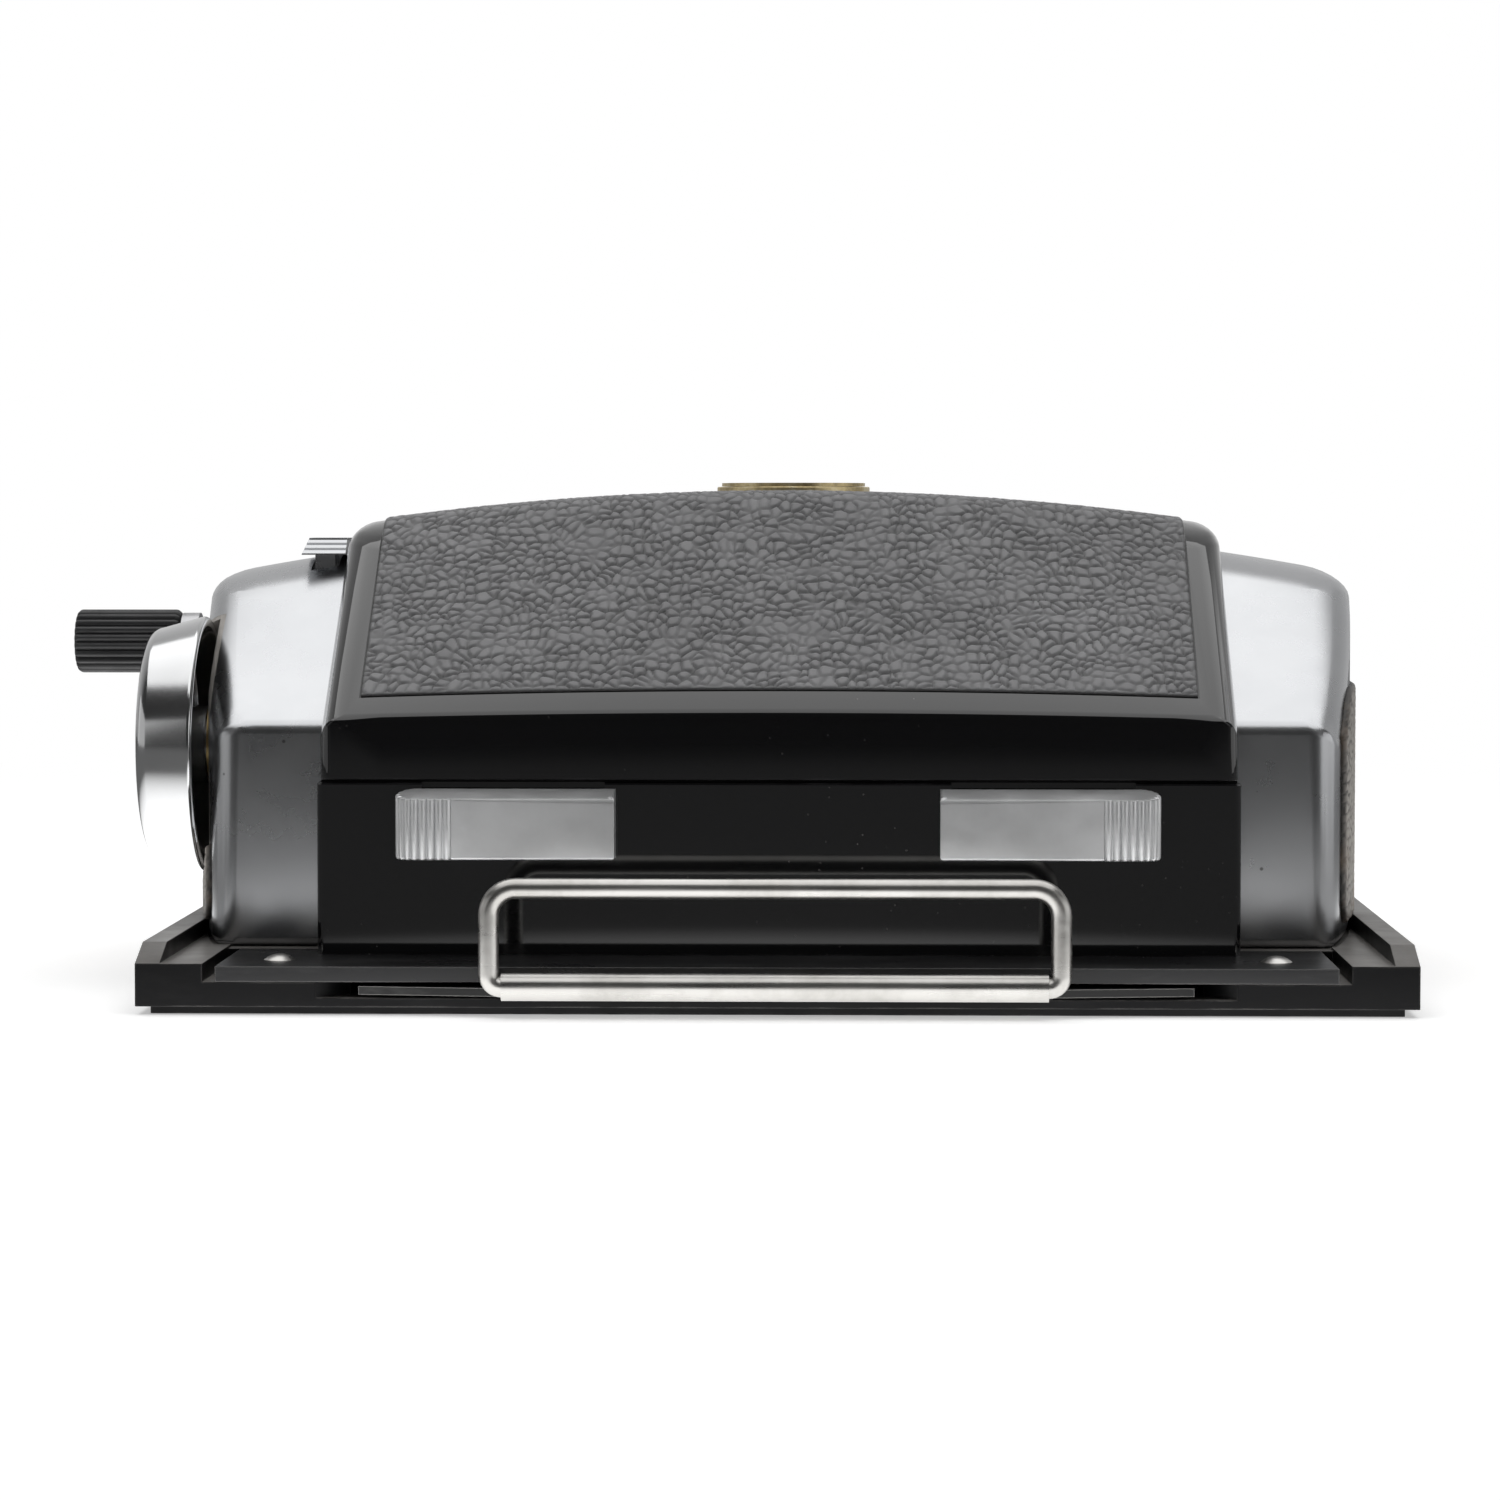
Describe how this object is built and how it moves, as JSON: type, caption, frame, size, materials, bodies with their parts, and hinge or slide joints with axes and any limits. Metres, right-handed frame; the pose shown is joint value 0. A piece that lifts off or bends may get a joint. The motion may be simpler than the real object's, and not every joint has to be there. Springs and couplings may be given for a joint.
{
  "type": "roll film magazine",
  "caption": "Roll-film back for a twin lens reflex camera: dark slide with wire bail, leather-covered hinged cover, satin end casings, squeeze latches and winding crank.",
  "frame": {"origin": "centre of the film gate on the camera-side face", "axes": "+Z away from the lens, -Y towards the dark slide's handle, -X towards the crank"},
  "size_m": [0.1363, 0.1143, 0.0513],
  "materials": {
    "black_enamel": "gloss black enamel",
    "frame_black": "semi-gloss black, worn at the edges",
    "satin_chrome": "satin chrome",
    "leather": "pebbled black-grey leatherette",
    "end_leather": "pebbled leatherette, worn",
    "satin_aluminium": "satin",
    "steel": "bright drawn steel",
    "knob_black": "ribbed black plastic",
    "brass": "machined",
    "dial_gold": "matt gilt",
    "velvet": "black velvet and foam",
    "spool_plastic": "moulded black",
    "dial_white": "white face with plain numbers",
    "window": "clear"
  },
  "bodies": {
    "root": {"mount_frame": "frame_black", "slide_guide_plate": "frame_black", "guide_plate_screws": "steel", "slide_light_trap": "velvet", "frame_screws": "steel", "body_shell": "black_enamel", "body_light_seal": "velvet", "left_end_casing": "satin_chrome", "right_end_casing": "satin_chrome", "left_end_leather": "end_leather", "right_end_leather": "end_leather", "gear_plate": "steel", "right_side_plate": "steel", "cover_hinge_pin": "steel", "latch_springs": "steel", "shaft_bushes": "brass", "gear_axles": "steel", "counter_window": "window", "release_tab_spring": "steel", "film_carrier": "frame_black", "roller_axles": "steel", "pressure_springs": "steel", "spool_pin_springs": "steel", "supply_brake_pin": "steel"},
    "dark_slide": {"dark_slide": "steel"},
    "bail": {"slide_bail": "steel"},
    "cover": {"back_cover": "black_enamel", "cover_leather": "leather", "cover_catches": "steel", "memo_dial_base": "black_enamel"},
    "memo_dial": {"memo_dial": "dial_gold"},
    "left_lever": {"left_latch_lever": "satin_aluminium"},
    "right_lever": {"right_latch_lever": "satin_aluminium"},
    "crank": {"crank_cup": "satin_chrome", "crank_arm": "steel", "crank_pin": "steel", "cup_screw": "steel", "wind_shaft": "steel", "wind_gear": "brass"},
    "crank_knob": {"crank_knob": "knob_black"},
    "compound_gear": {"compound_gear": "brass"},
    "counter": {"counter_gear": "brass", "counter_dial": "dial_white"},
    "take_up_spool": {"take_up_spool": "spool_plastic"},
    "supply_spool": {"supply_spool": "spool_plastic"},
    "front_roller": {"front_guide_roller": "steel"},
    "rear_roller": {"rear_guide_roller": "steel"},
    "pressure_plate": {"pressure_plate": "frame_black"},
    "take_up_pin": {"take_up_pin": "steel"},
    "supply_pin": {"supply_pin": "steel"},
    "release_tab": {"release_tab": "satin_aluminium"}
  },
  "joints": [
    {"name": "dark_slide_pull", "type": "slide", "parent": "root", "child": "dark_slide", "axis": [0, -1, 0], "range_m": [0, 0.09]},
    {"name": "bail_swing", "type": "hinge", "parent": "dark_slide", "child": "bail", "pos_m": [0, -0.058, 0.0031], "axis": [1, 0, 0], "range_deg": [-20, 100]},
    {"name": "cover_open", "type": "hinge", "parent": "root", "child": "cover", "pos_m": [0, 0.0447, 0.0219], "axis": [-1, 0, 0], "range_deg": [0, 100]},
    {"name": "memo_dial_turn", "type": "hinge", "parent": "cover", "child": "memo_dial", "pos_m": [0.0008, 0, 0.051], "axis": [0, 0, 1], "continuous": true},
    {"name": "left_lever_squeeze", "type": "slide", "parent": "root", "child": "left_lever", "axis": [1, 0, 0], "range_m": [0, 0.004], "stiffness_N_per_m": 400, "springref_m": -0.002, "deforming": ["latch_springs"]},
    {"name": "right_lever_squeeze", "type": "slide", "parent": "root", "child": "right_lever", "axis": [-1, 0, 0], "range_m": [0, 0.004], "stiffness_N_per_m": 400, "springref_m": -0.002, "deforming": ["latch_springs"]},
    {"name": "crank_turn", "type": "hinge", "parent": "root", "child": "crank", "pos_m": [-0.06, -0.022, 0.0244], "axis": [1, 0, 0], "continuous": true},
    {"name": "crank_knob_spin", "type": "hinge", "parent": "crank", "child": "crank_knob", "pos_m": [-0.069, -0.008, 0.03457], "axis": [1, 0, 0], "continuous": true},
    {"name": "compound_gear_turn", "type": "hinge", "parent": "root", "child": "compound_gear", "pos_m": [-0.05, -0.0062, 0.0219], "axis": [1, 0, 0], "continuous": true},
    {"name": "counter_turn", "type": "hinge", "parent": "root", "child": "counter", "pos_m": [-0.052, 0.01178, 0.02096], "axis": [1, 0, 0], "continuous": true},
    {"name": "take_up_spool_turn", "type": "hinge", "parent": "root", "child": "take_up_spool", "pos_m": [0, -0.022, 0.0244], "axis": [1, 0, 0], "continuous": true},
    {"name": "supply_spool_turn", "type": "hinge", "parent": "root", "child": "supply_spool", "pos_m": [0, 0.022, 0.0244], "axis": [1, 0, 0], "continuous": true},
    {"name": "front_roller_turn", "type": "hinge", "parent": "root", "child": "front_roller", "pos_m": [0, -0.0386, 0.008], "axis": [1, 0, 0], "continuous": true},
    {"name": "rear_roller_turn", "type": "hinge", "parent": "root", "child": "rear_roller", "pos_m": [0, 0.0386, 0.008], "axis": [1, 0, 0], "continuous": true},
    {"name": "pressure_plate_lift", "type": "slide", "parent": "root", "child": "pressure_plate", "axis": [0, 0, 1], "range_m": [0, 0.0012], "stiffness_N_per_m": 1500, "springref_m": -0.001, "deforming": ["pressure_springs"]},
    {"name": "take_up_pin_push", "type": "slide", "parent": "root", "child": "take_up_pin", "axis": [1, 0, 0], "range_m": [0, 0.003], "stiffness_N_per_m": 500, "springref_m": -0.002, "deforming": ["spool_pin_springs"]},
    {"name": "supply_pin_push", "type": "slide", "parent": "root", "child": "supply_pin", "axis": [1, 0, 0], "range_m": [0, 0.003], "stiffness_N_per_m": 500, "springref_m": -0.002, "deforming": ["spool_pin_springs"]},
    {"name": "release_tab_push", "type": "slide", "parent": "root", "child": "release_tab", "axis": [0, 1, 0], "range_m": [0, 0.0025], "stiffness_N_per_m": 200, "springref_m": -0.002, "deforming": ["release_tab_spring"]}
  ],
  "couplings": [
    {"joint": "compound_gear_turn", "follows": "crank_turn", "ratio": -0.33333},
    {"joint": "counter_turn", "follows": "crank_turn", "ratio": 0.066667},
    {"joint": "take_up_spool_turn", "follows": "crank_turn", "ratio": 1}
  ]
}
